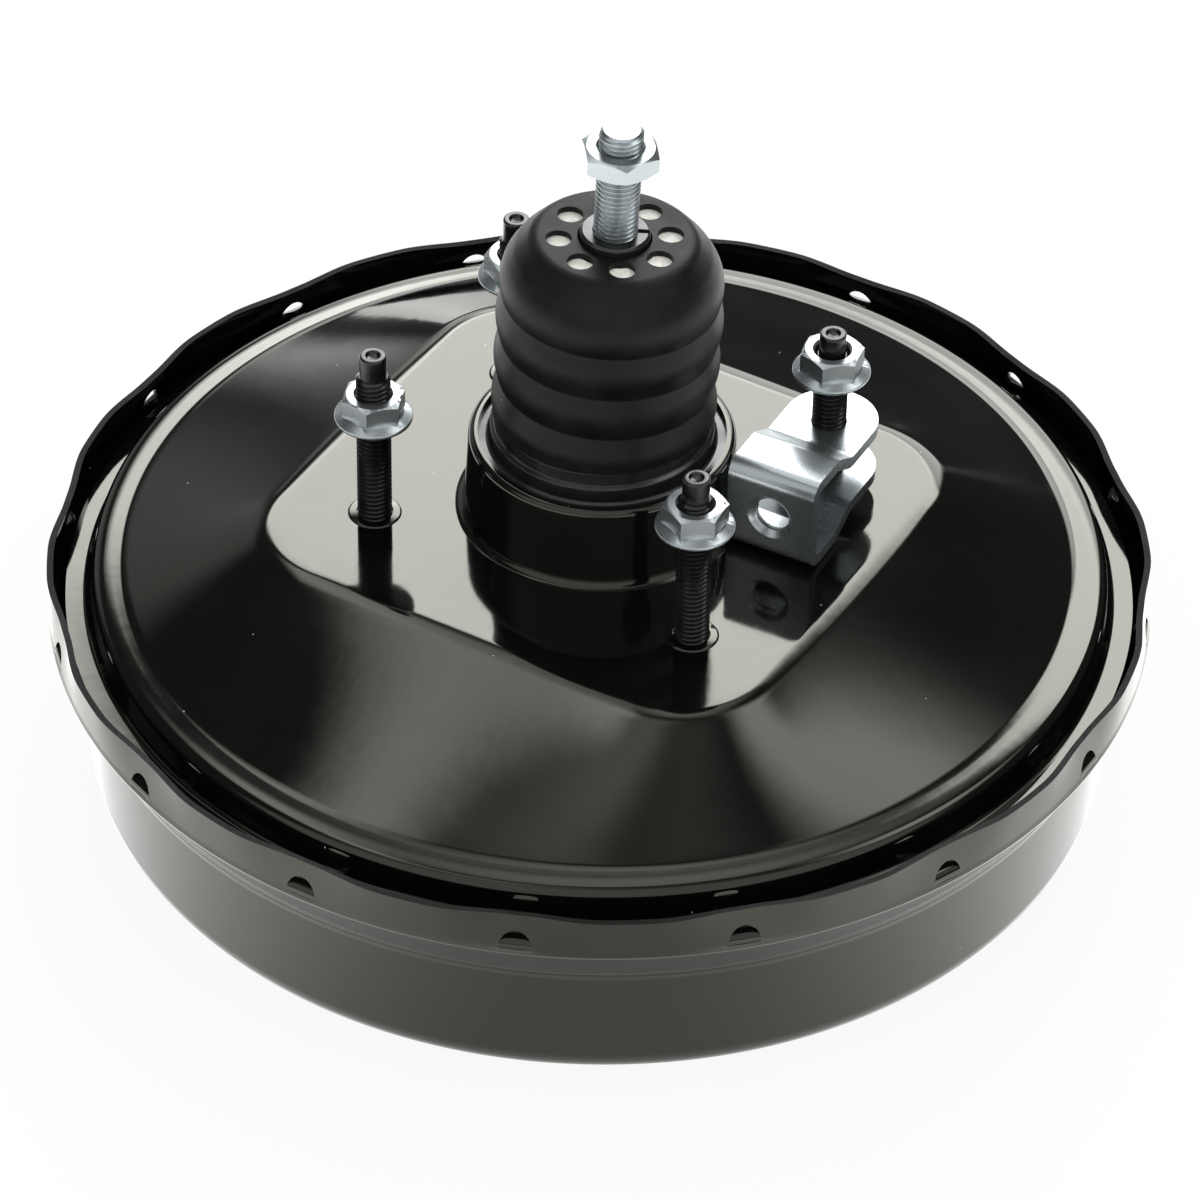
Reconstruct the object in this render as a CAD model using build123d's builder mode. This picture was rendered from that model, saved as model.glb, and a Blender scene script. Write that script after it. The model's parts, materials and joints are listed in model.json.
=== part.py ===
# Vacuum brake booster, single diaphragm, 10 inch, with its shipped fork head.
# Millimetres. +Z points to the pedal. Origin: centre of the front face it stands on.
import math
import os
from build123d import *

os.makedirs("parts", exist_ok=True)

# ---- shells
sheet = 1.5
rim_r = 128.0
rim_top_z = 54.0
band_z = 44.8
wave_z = 47.0
wave_depth = 2.3
wave_half_deg = 5.7
wall_top_r = rim_r - 6.6
wall_foot_r = rim_r - 8.4
shoulder_z = 36.2
corner_r = 8.0
recess_z = 17.0
recess_r = 50.0
recess_mouth_r = 56.0
front_hole_r = 15.2
lance_count = 16
lance_width = 7.6
lance_top_z = 51.2
flange_r = rim_r - 4.0
flange_z = 46.3
land_out_r = flange_r - 6.5
land_in_r = land_out_r - 7.5
land_z = 54.0
pad_z = 69.0
pad_x = 130.0
pad_y = 118.0
pad_corner = 22.0

# ---- firewall side
stud_x = 84.0
stud_y = 62.0
m8_r = 4.0
m8_pitch_r = 3.594
shank_end_z = 72.0
stud_tip_z = 114.0
dog_r = 3.1
dog_length = 5.8
plate_thick = 2.5
plate_gap = 0.1
head_r = 7.0
head_thick = 2.0
nut_af = 13.0
nut_flange_r = 8.95
nut_height = 7.0
nut_fit = 0.03
nut_bottoms = (96.3, 99.8, 102.6, 97.0)

# ---- neck
neck_base_r = 31.6
neck_draft = 1.0
neck_lip = 2.1
neck_top_r = neck_base_r - neck_draft
neck_fillet = 2.1
neck_lip_bend = 1.6
neck_top_z = 89.7
neck_lip_r = neck_top_r - neck_lip
neck_wall = 1.3
collar_gap = 3.7
collar_r = neck_lip_r - collar_gap
collar_tip_r = collar_r - 1.4
collar_wall = 1.2
collar_step_z = 96.2
collar_top_z = 101.0
slide_fit = 0.08
soft_gap = 0.3

# ---- power piston
hub_r = 19.5
hub_front_z = 56.5
hub_top_z = 138.5
hub_flange_r = 28.0
plate_top_z = 59.5
piston_plate = 1.0
plate_flat_r = 62.0
plate_edge_z = 50.6
plate_skirt_z = 42.0
piston_r = land_out_r - 17.5
rubber = 1.2
roll_low_z = 33.0
bead_low_z = 41.6
bead_top_z = 44.4
chamber_r = 16.6
valve_bore_r = 5.5
reaction_r = 11.0

# ---- input rod, leaning as shipped
ball_z = 92.0
lean_deg = 2.2
lean_dir_deg = 30.0
ball_r = 5.0
rod_r = 4.0
m10_r = 5.0
m10_pitch_r = 4.51
rod_tip = 81.0
rod_thread_start = 50.5
jam_low = 71.5
jam_thick = 5.0
jam_af = 16.0

# ---- boot
boot_z = 96.4
boot_r = collar_r + 0.5
boot_top_z = 144.0
boot_wall = 1.4
boot_hole_r = 8.4
groove_depth = 0.45
bulge = 0.8
first_groove = 8.1
groove_pitch = 11.5
groove_count = 3
vent_r = 3.0
vent_circle_r = 12.6
vent_count = 8

# ---- fork head
fork_turn_deg = 92.5
fork_width = 21.6
fork_base = 29.5
fork_low_z = 69.35
fork_high_z = 92.95
fork_sheet = 2.8
fork_joggle = 3.9
fork_joggle_start = 13.0
fork_joggle_end = 20.0
fork_end = 12.0
fork_hole_r = 4.15
fork_bend = 4.0

# ---- master cylinder side
mc_stud_x = 68.0
mc_stud_tip_z = 0.5
rod_tip_z = 6.0
valve_y = -38.0

stud_spots = [
    (-stud_x / 2, -stud_y / 2),
    (stud_x / 2, -stud_y / 2),
    (stud_x / 2, stud_y / 2),
    (-stud_x / 2, stud_y / 2),
]


def save(part, name):
    part.label = name
    export_step(part, f"parts/{name}.step")


def turned(points, plane=Plane.XZ):
    # solid of revolution from (radius, height) corners
    with BuildPart() as body:
        with BuildSketch(plane):
            with BuildLine():
                Polyline(*points, close=True)
            make_face()
        revolve(axis=Axis(plane.origin, plane.y_dir), revolution_arc=360)
    return body.part


def chords(corners, bends, count=3):
    # points of an open line whose inner corners are bends of these radii, each drawn as a few chords
    with BuildLine(Plane.XY) as outline:
        FilletPolyline(*corners, radius=bends)
    points = [Vector(*corners[0])]
    for edge in outline.wires()[0].order_edges():
        parts = count if edge.geom_type == GeomType.CIRCLE else 1
        points += [edge @ (i / parts) for i in range(1, parts + 1)]
    return [(point.X, point.Y) for point in points]


def pressed(corners, bends, thick, side=Side.LEFT):
    # turned sheet: the corners of its outer face, the radius of each bend, and the thickness to one side
    with BuildPart() as body:
        with BuildSketch(Plane.XZ):
            with BuildLine():
                face_line = Polyline(*chords(corners, bends))
                offset(face_line, amount=thick, side=side, kind=Kind.INTERSECTION)
            make_face()
        revolve(axis=Axis.Z, revolution_arc=360)
    return body.part


def tube(r_in, r_out, z_low, z_high):
    return turned([(r_in, z_low), (r_out, z_low), (r_out, z_high), (r_in, z_high)])


def spring(coil_r, wire_r, z_low, z_high, turns, cone=0.0):
    height = z_high - z_low
    with BuildPart() as coil:
        with BuildLine() as path:
            Helix(pitch=height / turns, height=height, radius=coil_r, center=(0, 0, z_low), cone_angle=cone)
        with BuildSketch(Plane(origin=path.line @ 0, z_dir=path.line % 0)):
            RegularPolygon(wire_r, 6)
        sweep(path=path.line, is_frenet=True)
    return coil.part


def rounded_plate(x, y, corner, z_low, thick):
    with BuildPart() as plate:
        with BuildSketch(Plane.XY.offset(z_low)):
            RectangleRounded(x, y, corner)
        extrude(amount=thick)
    return plate.part


# ======== front shell
front_corners = [
    (front_hole_r, recess_z), (recess_r, recess_z), (recess_mouth_r, 0), (wall_foot_r, 0),
    (wall_top_r, shoulder_z), (rim_r, band_z - 0.6), (rim_r, wave_z),
]
front_bends = [3, 3, corner_r, 8, 1.5]


def polar(radius, degrees):
    angle = math.radians(degrees)
    return Vector(radius * math.cos(angle), radius * math.sin(angle))


def wavy_ring(radius):
    # one smooth dent over each lance, plain arcs between them
    step = 360 / lance_count
    with BuildLine() as ring:
        for k in range(lance_count):
            start, end = k * step - wave_half_deg, k * step + wave_half_deg
            Spline(
                polar(radius, start), polar(radius - wave_depth, k * step), polar(radius, end),
                tangents=(polar(1, start + 90), polar(1, end + 90)),
            )
            ThreePointArc(polar(radius, end), polar(radius, (k + 0.5) * step), polar(radius, start + step))
    return ring.line


with BuildPart() as front_shell:
    add(pressed(front_corners, front_bends, sheet))
    with BuildSketch(Plane.XY.offset(wave_z)):
        with BuildLine():
            add(wavy_ring(rim_r))
        make_face()
        with BuildLine():
            add(wavy_ring(rim_r - sheet))
        make_face(mode=Mode.SUBTRACT)
    extrude(amount=rim_top_z - wave_z)
    for k in range(lance_count):
        spin = Plane.XY.rotated((0, 0, k * 360 / lance_count))
        cut = Plane(origin=spin.x_dir * (rim_r - 8), x_dir=spin.y_dir, z_dir=spin.x_dir)
        with BuildSketch(cut):
            with BuildLine():
                Line((-lance_width / 2, band_z + 0.4), (lance_width / 2, band_z + 0.4))
                ThreePointArc(
                    (lance_width / 2, band_z + 0.4), (0, lance_top_z), (-lance_width / 2, band_z + 0.4)
                )
            make_face()
        extrude(amount=12, mode=Mode.SUBTRACT)
        side = Plane(origin=(0, 0, 0), x_dir=spin.x_dir, z_dir=spin.y_dir * -1)
        with BuildSketch(side):
            with BuildLine():
                Polyline(
                    (rim_r - 0.7, band_z), (rim_r - sheet, band_z - 0.1), (rim_r - 5.2, band_z + 2.7),
                    (rim_r - 4.4, band_z + 4.0), (rim_r - 0.3, band_z + 1.1), close=True,
                )
            make_face()
        extrude(amount=lance_width / 2 - 0.6, both=True)
    with BuildSketch(Plane.XY.offset(recess_z)):
        with GridLocations(mc_stud_x, 0, 2, 1):
            Circle(m8_r + 0.3)
        with Locations((0, valve_y)):
            Circle(8.5)
    extrude(amount=sheet, mode=Mode.SUBTRACT)
save(front_shell.part, "front_shell")

# ======== rear shell
def shell_solid(drop):
    # the pressed form: flat pad blended down to the round land
    with BuildPart() as form:
        with BuildSketch(Plane.XY.offset(land_z - drop)):
            Circle(land_in_r - drop * 0.55)
        with BuildSketch(Plane.XY.offset(pad_z - drop)):
            RectangleRounded(pad_x - drop * 1.1, pad_y - drop * 1.1, pad_corner - drop * 0.5)
        loft()
    return form.part


with BuildPart() as rear_shell:
    add(shell_solid(0))
    add(shell_solid(sheet), mode=Mode.SUBTRACT)
    land_corners = [
        (land_in_r - 0.8, land_z), (land_out_r, land_z), (land_out_r + 1.2, flange_z), (flange_r, flange_z),
    ]
    add(pressed(land_corners, [2.6, 1.6], sheet, Side.RIGHT))
    add(tube(0, neck_base_r - neck_wall, pad_z - 4, pad_z + 1), mode=Mode.SUBTRACT)
    neck_corners = [
        (neck_base_r + neck_fillet + 0.2, pad_z), (neck_base_r, pad_z),
        (neck_top_r, neck_top_z), (neck_lip_r, neck_top_z),
    ]
    add(pressed(neck_corners, [neck_fillet, neck_lip_bend], neck_wall))
    with BuildSketch(Plane.XY.offset(pad_z - 3)):
        with GridLocations(stud_x, stud_y, 2, 2):
            Circle(m8_r + 0.3)
    extrude(amount=5, mode=Mode.SUBTRACT)
save(rear_shell.part, "rear_shell")

# ======== plate behind the pad, studs and nuts
plate_top = pad_z - sheet - plate_gap
with BuildPart() as rear_plate:
    add(rounded_plate(pad_x - 20, pad_y - 20, 14, plate_top - plate_thick, plate_thick))
    with BuildSketch(Plane.XY.offset(plate_top - plate_thick - 1)):
        Circle(neck_base_r + 1.2)
        with GridLocations(stud_x, stud_y, 2, 2):
            Circle(m8_r + 0.3)
    extrude(amount=plate_thick + 2, mode=Mode.SUBTRACT)
save(rear_plate.part, "rear_reinforcement")

head_top = plate_top - plate_thick
with BuildPart() as studs:
    for x, y in stud_spots:
        with Locations((x, y, 0)):
            add(tube(0, head_r, head_top - head_thick, head_top))
            add(tube(0, m8_r + 0.25, head_top, pad_z))
            add(tube(0, m8_r, pad_z, shank_end_z))
            add(tube(0, m8_pitch_r, shank_end_z, stud_tip_z - dog_length))
            add(
                turned(
                    [
                        (0, stud_tip_z - dog_length), (dog_r, stud_tip_z - dog_length),
                        (dog_r, stud_tip_z - 0.4), (dog_r - 0.4, stud_tip_z), (0, stud_tip_z),
                    ]
                )
            )
save(studs.part, "firewall_studs")

nut_names = ("flange_nut_left", "flange_nut_front", "flange_nut_right", "flange_nut_rear")
for name, (x, y), low in zip(nut_names, stud_spots, nut_bottoms):
    with BuildPart() as nut:
        with BuildSketch(Plane.XY.offset(low + 1.0)):
            with Locations((x, y)):
                RegularPolygon(nut_af / 2, 6, major_radius=False, rotation=30)
        extrude(amount=nut_height - 1.0)
        with Locations((x, y, 0)):
            add(
                turned(
                    [
                        (0, low), (nut_flange_r, low), (nut_flange_r, low + 1.0),
                        (nut_af / 2 - 0.3, low + 2.4), (0, low + 2.4),
                    ]
                )
            )
        with BuildSketch(Plane.XY.offset(low - 1)):
            with Locations((x, y)):
                Circle(m8_pitch_r + nut_fit)
        extrude(amount=nut_height + 2, mode=Mode.SUBTRACT)
    save(nut.part, name)

# ======== neck: collar, seal and bearing
neck_in = neck_top_r - neck_wall - 0.1
collar_flange_z = neck_top_z - neck_wall - 0.2
save(
    turned(
        [
            (collar_tip_r - collar_wall, collar_flange_z - 1.3), (neck_in - 0.3, collar_flange_z - 1.3),
            (neck_in - 0.3, collar_flange_z), (collar_r + 0.9, collar_flange_z), (collar_r + 0.9, 92.2),
            (collar_r, 92.8), (collar_r, collar_step_z), (collar_tip_r, collar_step_z),
            (collar_tip_r, collar_top_z), (collar_tip_r - collar_wall, collar_top_z),
        ]
    ),
    "neck_collar",
)
save(
    turned(
        [
            (hub_r + soft_gap, 79.5), (hub_r + 3.0, 78.2), (neck_in - 0.2, 78.2), (neck_in - 0.2, 86.4),
            (hub_r + 4.0, 86.4), (hub_r + 3.2, 81.5), (hub_r + soft_gap, 81.0),
        ]
    ),
    "neck_seal",
)
save(tube(hub_r + slide_fit, neck_in - 0.1, 74.0, 77.9), "neck_bearing")

# ======== front plate, master cylinder studs and seal
front_in = recess_z + sheet + plate_gap
with BuildPart() as front_plate:
    with BuildSketch(Plane.XY.offset(front_in)):
        RectangleRounded(mc_stud_x + 22, 42, 14)
        Circle(front_hole_r + 0.3, mode=Mode.SUBTRACT)
        with GridLocations(mc_stud_x, 0, 2, 1):
            Circle(m8_r + 0.3, mode=Mode.SUBTRACT)
    extrude(amount=plate_thick)
save(front_plate.part, "front_reinforcement")

with BuildPart() as mc_studs:
    for x in (-mc_stud_x / 2, mc_stud_x / 2):
        with Locations((x, 0, 0)):
            add(tube(0, 6.5, front_in + plate_thick, front_in + plate_thick + 1.8))
            add(tube(0, m8_r + 0.25, recess_z, front_in + plate_thick))
            add(turned([(0, mc_stud_tip_z), (m8_r - 0.7, mc_stud_tip_z), (m8_r, mc_stud_tip_z + 0.8), (m8_r, recess_z), (0, recess_z)]))
save(mc_studs.part, "master_cylinder_studs")

push_r = 4.5
save(
    turned(
        [
            (push_r + soft_gap, 19.6), (push_r + 2.6, 18.2), (front_hole_r - 0.3, 17.2), (front_hole_r - 0.3, 20.8),
            (push_r + 3.4, 22.4), (push_r + 2.4, 21.4), (push_r + soft_gap, 21.2),
        ]
    ),
    "front_seal",
)
save(
    turned(
        [
            (push_r + 5.0, 22.9), (front_hole_r + 5.5, 21.4), (front_hole_r + 5.5, 22.4), (push_r + 5.2, 24.0),
        ]
    ),
    "front_seal_retainer",
)

# ======== vacuum check valve beside the master cylinder seat
with BuildPart() as grommet:
    with Locations((0, valve_y, 0)):
        add(
            turned(
                [
                    (6.1, 15.4), (11.0, 15.4), (11.0, recess_z - 0.1), (8.3, recess_z - 0.1),
                    (8.3, recess_z + sheet + 0.1), (10.4, recess_z + sheet + 0.1), (9.4, 22.0), (6.1, 22.0),
                ]
            )
        )
save(grommet.part, "check_valve_grommet")
with BuildPart() as valve_case:
    with Locations((0, valve_y, 0)):
        add(
            turned(
                [
                    (3.3, 1.0), (4.3, 1.0), (4.8, 1.6), (4.8, 12.4), (9.5, 12.4),
                    (9.5, 15.2), (6.0, 15.2), (6.0, 22.2), (6.7, 22.4), (6.7, 23.6), (3.0, 23.6), (3.0, 22.4),
                    (5.0, 22.4), (5.0, 14.2), (3.3, 14.2),
                ]
            )
        )
save(valve_case.part, "check_valve_body")
with BuildPart() as valve_disc:
    with Locations((0, valve_y, 0)):
        add(turned([(0, 18.9), (1.6, 18.9), (1.6, 20.7), (4.6, 20.7), (4.6, 22.2), (0, 22.2)]))
save(valve_disc.part, "check_valve_disc")
with BuildPart() as valve_spring:
    with Locations((0, valve_y, 0)):
        add(spring(2.7, 0.35, 14.7, 20.2, 4))
save(valve_spring.part, "check_valve_spring")

# ======== diaphragm, its plate and the return spring
plate_under = plate_top_z - piston_plate
plate_corners = [
    (hub_r + 0.2, plate_under), (plate_flat_r, plate_under), (piston_r, plate_edge_z), (piston_r, plate_skirt_z),
]
save(pressed(plate_corners, [3, 1.5], piston_plate), "diaphragm_plate")
skin = plate_top_z + 0.2
roll_in = piston_r + piston_plate + 0.4
roll_out = wall_foot_r - 2.2
roll_bend = (roll_out - roll_in) * 0.38
skin_corners = [
    (hub_r + 0.6, skin), (plate_flat_r + 0.5, skin), (roll_in, plate_edge_z + 1.3),
    (roll_in, roll_low_z), (roll_out, roll_low_z), (roll_out, bead_low_z + 0.4),
]
with BuildPart() as diaphragm:
    add(pressed(skin_corners, [3, 2, roll_bend, roll_bend], rubber))
    add(tube(roll_out - rubber, flange_r - 1.6, bead_low_z, bead_top_z))
    add(tube(hub_r + 0.6, hub_r + 4.0, skin, skin + 3.0))
save(diaphragm.part, "diaphragm")
spring_wire = 1.7
spring_low = sheet + spring_wire + 0.2
spring_high = plate_under - spring_wire - 2.0
spring_rise = spring_high - spring_low
spring_base_r = recess_mouth_r + 6.2
spring_cone = -math.degrees(math.atan((spring_base_r - 32.0) / spring_rise))
save(spring(spring_base_r, spring_wire, spring_low, spring_high, 5, spring_cone), "return_spring")

# ======== power piston: valve body
with BuildPart() as valve_body:
    add(
        turned(
            [
                (reaction_r, hub_front_z), (hub_flange_r + 2.0, hub_front_z),
                (hub_flange_r + 2.0, plate_under - 0.2), (hub_r, plate_under - 0.2), (hub_r, hub_top_z - 1.5),
                (hub_r - 1.0, hub_top_z), (chamber_r, hub_top_z), (chamber_r, 83.0), (13.0, 79.5), (13.0, 77.0),
                (valve_bore_r, 77.0), (valve_bore_r, 64.5), (reaction_r, 64.5),
            ]
        )
    )
    with BuildSketch(Plane.XY.offset(69.6)):
        with Locations((hub_r / 2 + 2, 0)):
            Rectangle(hub_r + 8, 9.0)
    extrude(amount=3.2, mode=Mode.SUBTRACT)
    with BuildSketch(Plane.XY.offset(76.0)):
        with GridLocations(18.4, 0, 2, 1):
            Rectangle(4.4, 7.0)
    extrude(amount=9.0, mode=Mode.SUBTRACT)
save(valve_body.part, "valve_body")
save(tube(hub_r + 0.15, hub_r + 9.0, skin + 3.2, skin + 4.4), "diaphragm_retainer")
save(tube(0, reaction_r - 0.3, 60.6, 64.3), "reaction_disc")
save(
    turned(
        [
            (0, 15.0), (push_r, 15.0), (push_r, hub_front_z), (reaction_r - 0.2, 57.8), (reaction_r - 0.2, 60.4), (0, 60.4),
        ]
    ),
    "output_rod",
)
save(
    turned(
        [
            (0, rod_tip_z), (1.8, rod_tip_z + 0.5), (3.3, rod_tip_z + 2.2), (3.3, 11.0), (push_r + 0.4, 11.2),
            (push_r + 0.4, 14.8), (0, 14.8),
        ]
    ),
    "output_rod_tip",
)
with BuildPart() as key:
    with BuildSketch(Plane.XY.offset(70.0)):
        with Locations((15.0, 0)):
            Rectangle(21.0, 8.4)
        Circle(m8_r + 0.35, mode=Mode.SUBTRACT)
    extrude(amount=2.4)
save(key.part, "stop_key")
save(
    turned(
        [
            (10.6, 86.0), (11.4, 85.0), (chamber_r - 0.15, 85.0), (chamber_r - 0.15, 99.0), (12.6, 99.0), (12.6, 97.8),
            (15.2, 97.8), (15.2, 86.4), (10.6, 86.4),
        ]
    ),
    "poppet_retainer",
)
save(
    turned(
        [
            (9.4, 83.6), (13.6, 83.6), (13.6, 84.6), (10.2, 84.8), (10.2, 95.8), (14.8, 95.8), (14.8, 97.4),
            (9.4, 97.4), (9.4, 84.4),
        ]
    ),
    "poppet_valve",
)
save(spring(11.6, 0.45, 87.2, 94.8, 4), "poppet_spring")
save(tube(9.0, chamber_r - 0.3, 120.5, 127.6), "silencer")
save(tube(9.0, chamber_r - 0.3, 128.0, hub_top_z - 0.6), "air_filter")
save(tube(9.0, 17.6, hub_top_z + 0.2, hub_top_z + 1.2), "filter_pad")

# ======== air valve plunger and input rod
save(
    turned(
        [
            (0, 66.0), (valve_bore_r - slide_fit, 66.0), (valve_bore_r - slide_fit, 69.4), (m8_r, 69.4), (m8_r, 74.3),
            (valve_bore_r - slide_fit, 74.3), (valve_bore_r - slide_fit, 78.8), (8.6, 81.4), (8.6, 96.2),
            (6.4, 97.6), (4.35, 96.0), (4.35, 95.0), (ball_r + 0.1, ball_z + 0.7), (ball_r + 0.1, ball_z - 0.7),
            (4.2, 89.0), (2.4, 87.4), (0, 86.9),
        ]
    ),
    "air_valve_plunger",
)
lean = math.radians(lean_deg)
lean_dir = math.radians(lean_dir_deg)
rod_axis = Vector(
    math.sin(lean) * math.cos(lean_dir), math.sin(lean) * math.sin(lean_dir), math.cos(lean)
)
side = Vector(-math.sin(lean_dir), math.cos(lean_dir), 0)
rod_plane = Plane(origin=(0, 0, ball_z), x_dir=side.cross(rod_axis), z_dir=side * -1)
jam_high = jam_low + jam_thick
save(
    turned(
        [
            (0, -4.9), (2.6, -4.15), (4.15, -2.6), (4.9, 0), (4.15, 2.6), (3.0, 3.9), (rod_r - 0.4, 6.0),
            (rod_r - 0.4, 24.8), (8.6, 24.8), (8.6, 26.4), (rod_r, 26.4), (rod_r, rod_thread_start), (m10_pitch_r, rod_thread_start + 0.6),
            (m10_pitch_r, jam_high + 0.3), (m10_r, jam_high + 0.7), (m10_r, rod_tip - 0.9), (m10_r - 0.8, rod_tip),
            (0, rod_tip),
        ],
        rod_plane,
    ),
    "input_rod",
)
with BuildPart() as jam_nut:
    with BuildSketch(Plane(origin=rod_plane.origin + rod_axis * jam_low, x_dir=rod_plane.x_dir, z_dir=rod_axis)):
        RegularPolygon(jam_af / 2, 6, major_radius=False, rotation=9)
        Circle(m10_pitch_r + nut_fit, mode=Mode.SUBTRACT)
    extrude(amount=jam_thick)
save(jam_nut.part, "jam_nut")
save(
    turned(
        [
            (m10_pitch_r + 0.12, 50.2), (8.9, 50.2), (8.9, 50.5), (8.0, 50.5), (8.0, 53.2), (7.4, 53.8),
            (m10_pitch_r + 0.12, 53.8),
        ],
        rod_plane,
    ),
    "rod_collar",
)
save(spring(7.6, 0.6, 99.8, 116.0, 6), "rod_return_spring")

# ======== boot over the valve body
boot_plane = Plane(origin=(0, 0, ball_z), x_dir=rod_plane.x_dir, z_dir=rod_plane.z_dir)
foot = boot_z - ball_z
top_edge = boot_top_z - ball_z
groove_r = boot_r - groove_depth
last_groove = foot + first_groove + (groove_count - 1) * groove_pitch
boot_corners = [(boot_r, foot - 1.6), (boot_r + 0.5, foot + 3.6)]
boot_bends = [8]
for k in range(groove_count):
    groove = foot + first_groove + k * groove_pitch
    boot_corners += [(groove_r, groove), (boot_r + bulge, groove + groove_pitch / 2)]
    boot_bends += [1.5, 12]
boot_corners += [(boot_r - 1.9, last_groove + 12.8), (boot_r - 6.4, top_edge), (boot_hole_r, top_edge)]
boot_bends += [7, 5]
boot_inside = [
    (boot_hole_r, top_edge - boot_wall), (boot_r - 7.2, top_edge - boot_wall), (boot_r - 3.4, last_groove + 12.2),
    (boot_r - 1.0, last_groove + 5.0), (boot_r - 1.2, foot - 1.6),
]
with BuildPart() as boot:
    add(turned(chords(boot_corners, boot_bends) + boot_inside, boot_plane))
    top = Plane(origin=boot_plane.origin + rod_axis * (top_edge - 4), x_dir=rod_plane.x_dir, z_dir=rod_axis)
    with BuildSketch(top):
        with PolarLocations(vent_circle_r, vent_count, start_angle=8):
            Circle(vent_r)
    extrude(amount=8, mode=Mode.SUBTRACT)
    with BuildSketch(Plane.XY.offset(boot_z)):
        Circle(40)
    extrude(amount=-8, mode=Mode.SUBTRACT)
save(boot.part, "boot")

# ======== fork head hung on the right-hand stud
fork_mid = (fork_low_z + fork_high_z) / 2
half = (fork_high_z - fork_low_z) / 2
ear_end = fork_base + fork_end
ear_high = half - fork_joggle
fork_corners = [
    (ear_end, ear_high), (fork_joggle_end, ear_high), (fork_joggle_start, half), (0, half),
    (0, -half), (fork_joggle_start, -half), (fork_joggle_end, -ear_high), (ear_end, -ear_high),
]
fork_turn = math.radians(fork_turn_deg)
arm = Vector(math.cos(fork_turn), math.sin(fork_turn), 0)
across = Vector(-math.sin(fork_turn), math.cos(fork_turn), 0)
stud = Vector(stud_x / 2, stud_y / 2, 0)
base_point = stud - arm * fork_base + Vector(0, 0, fork_mid)
with BuildPart() as fork:
    with BuildSketch(Plane(origin=base_point, x_dir=arm, z_dir=across * -1)):
        with BuildLine():
            strip = FilletPolyline(*fork_corners, radius=fork_bend)
            offset(strip, amount=fork_sheet, side=Side.LEFT)
        make_face()
    extrude(amount=fork_width / 2, both=True)
    with BuildSketch(Plane(origin=stud + Vector(0, 0, fork_low_z - 2), x_dir=arm, z_dir=(0, 0, 1))):
        with Locations((-20, 0)):
            Rectangle(42, fork_width)
        with Locations((fork_end - fork_width / 2, 0)):
            Circle(fork_width / 2)
    extrude(amount=fork_high_z - fork_low_z + 4, mode=Mode.INTERSECT)
    with BuildSketch(Plane(origin=stud + Vector(0, 0, fork_low_z - 2), z_dir=(0, 0, 1))):
        Circle(fork_hole_r)
    extrude(amount=fork_high_z - fork_low_z + 4, mode=Mode.SUBTRACT)
    with BuildSketch(Plane(origin=base_point - arm, x_dir=across, z_dir=arm)):
        Circle(m10_r)
    extrude(amount=fork_sheet + 2, mode=Mode.SUBTRACT)
save(fork.part, "fork_head")
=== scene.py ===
# Vacuum brake booster with its boot, firewall studs, flange nuts and loose fork head.
import json
import math

import bpy
from mathutils import Matrix, Vector


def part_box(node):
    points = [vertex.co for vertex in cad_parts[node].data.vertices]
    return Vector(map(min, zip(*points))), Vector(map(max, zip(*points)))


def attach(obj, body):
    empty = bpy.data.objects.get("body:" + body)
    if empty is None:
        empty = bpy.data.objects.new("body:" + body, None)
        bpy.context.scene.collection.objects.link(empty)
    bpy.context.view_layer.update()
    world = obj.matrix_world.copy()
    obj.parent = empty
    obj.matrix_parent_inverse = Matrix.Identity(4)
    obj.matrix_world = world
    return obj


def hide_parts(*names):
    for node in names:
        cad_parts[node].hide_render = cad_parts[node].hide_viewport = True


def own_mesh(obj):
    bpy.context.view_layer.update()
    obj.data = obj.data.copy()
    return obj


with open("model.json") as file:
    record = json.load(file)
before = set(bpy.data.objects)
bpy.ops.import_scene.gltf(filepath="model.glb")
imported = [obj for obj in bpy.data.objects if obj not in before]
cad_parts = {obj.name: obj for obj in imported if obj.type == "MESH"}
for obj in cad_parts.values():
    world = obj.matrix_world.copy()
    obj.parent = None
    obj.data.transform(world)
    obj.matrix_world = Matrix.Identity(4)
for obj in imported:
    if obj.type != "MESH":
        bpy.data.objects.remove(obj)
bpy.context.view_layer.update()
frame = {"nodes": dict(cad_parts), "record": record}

# New pieces are drawn in millimetres and brought to metres when they are finished.
MM = 0.001
# Radius that stands for a point on the axis: a ring this small closes up when doubles are merged.
PIN = 0.002

# ---- where the camera stands, about the middle of the rim's plane
RIM_CENTRE = Vector((0, 0, 54)) * MM
CAMERA_TURN = 30.04
CAMERA_HEIGHT = 38.92
CAMERA_ROLL = 1.08
CAMERA_DISTANCE = 1.3496
CAMERA_LENS = 174.45
AIM_DROP = 0.01135

# ---- light: each soft box's turn to the right of the line of sight, height, roll, half width, half height
# and softness, all in degrees, and its strength
SKY_LEVEL = 0.07
SOFT_BOXES = (
    (8, 38.2, 13, 17.5, 5.8, 2.4, 8.3),
    (10, 24, 0, 15.5, 10, 3, 4.2),
    (-10, 14, 0, 5, 8, 3, 2.2),
    (-34, 16, 0, 13, 16, 6, 0.45),
    (63, 59, 0, 14, 8, 6, 3.2),
    (-27, 60, -52, 15, 3, 3, 2.7),
    (2, 58, 0, 7, 10, 6, 1.6),
    (-62, 76, 0, 9, 9, 6, 0.9),
    (180, 45, 0, 60, 38, 20, 0.9),
    (0, 90, 0, 14, 14, 8, 0.25),
)
FLOOR_WHITE, FLOOR_GLOSS, FLOOR_FRONT, FLOOR_SIDE = 0.92, 0.6, 1.2, 3.0
DIFFUSE_FILL = 0.45
FLOOR_LOW, FLOOR_SIZE = -0.0004, 6
FLOOR_PAINT = (0.83, 0.82, 0.76)
FLOOR_FRONT_HALF, FLOOR_SIDE_START = 0.02, 0.15

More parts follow.
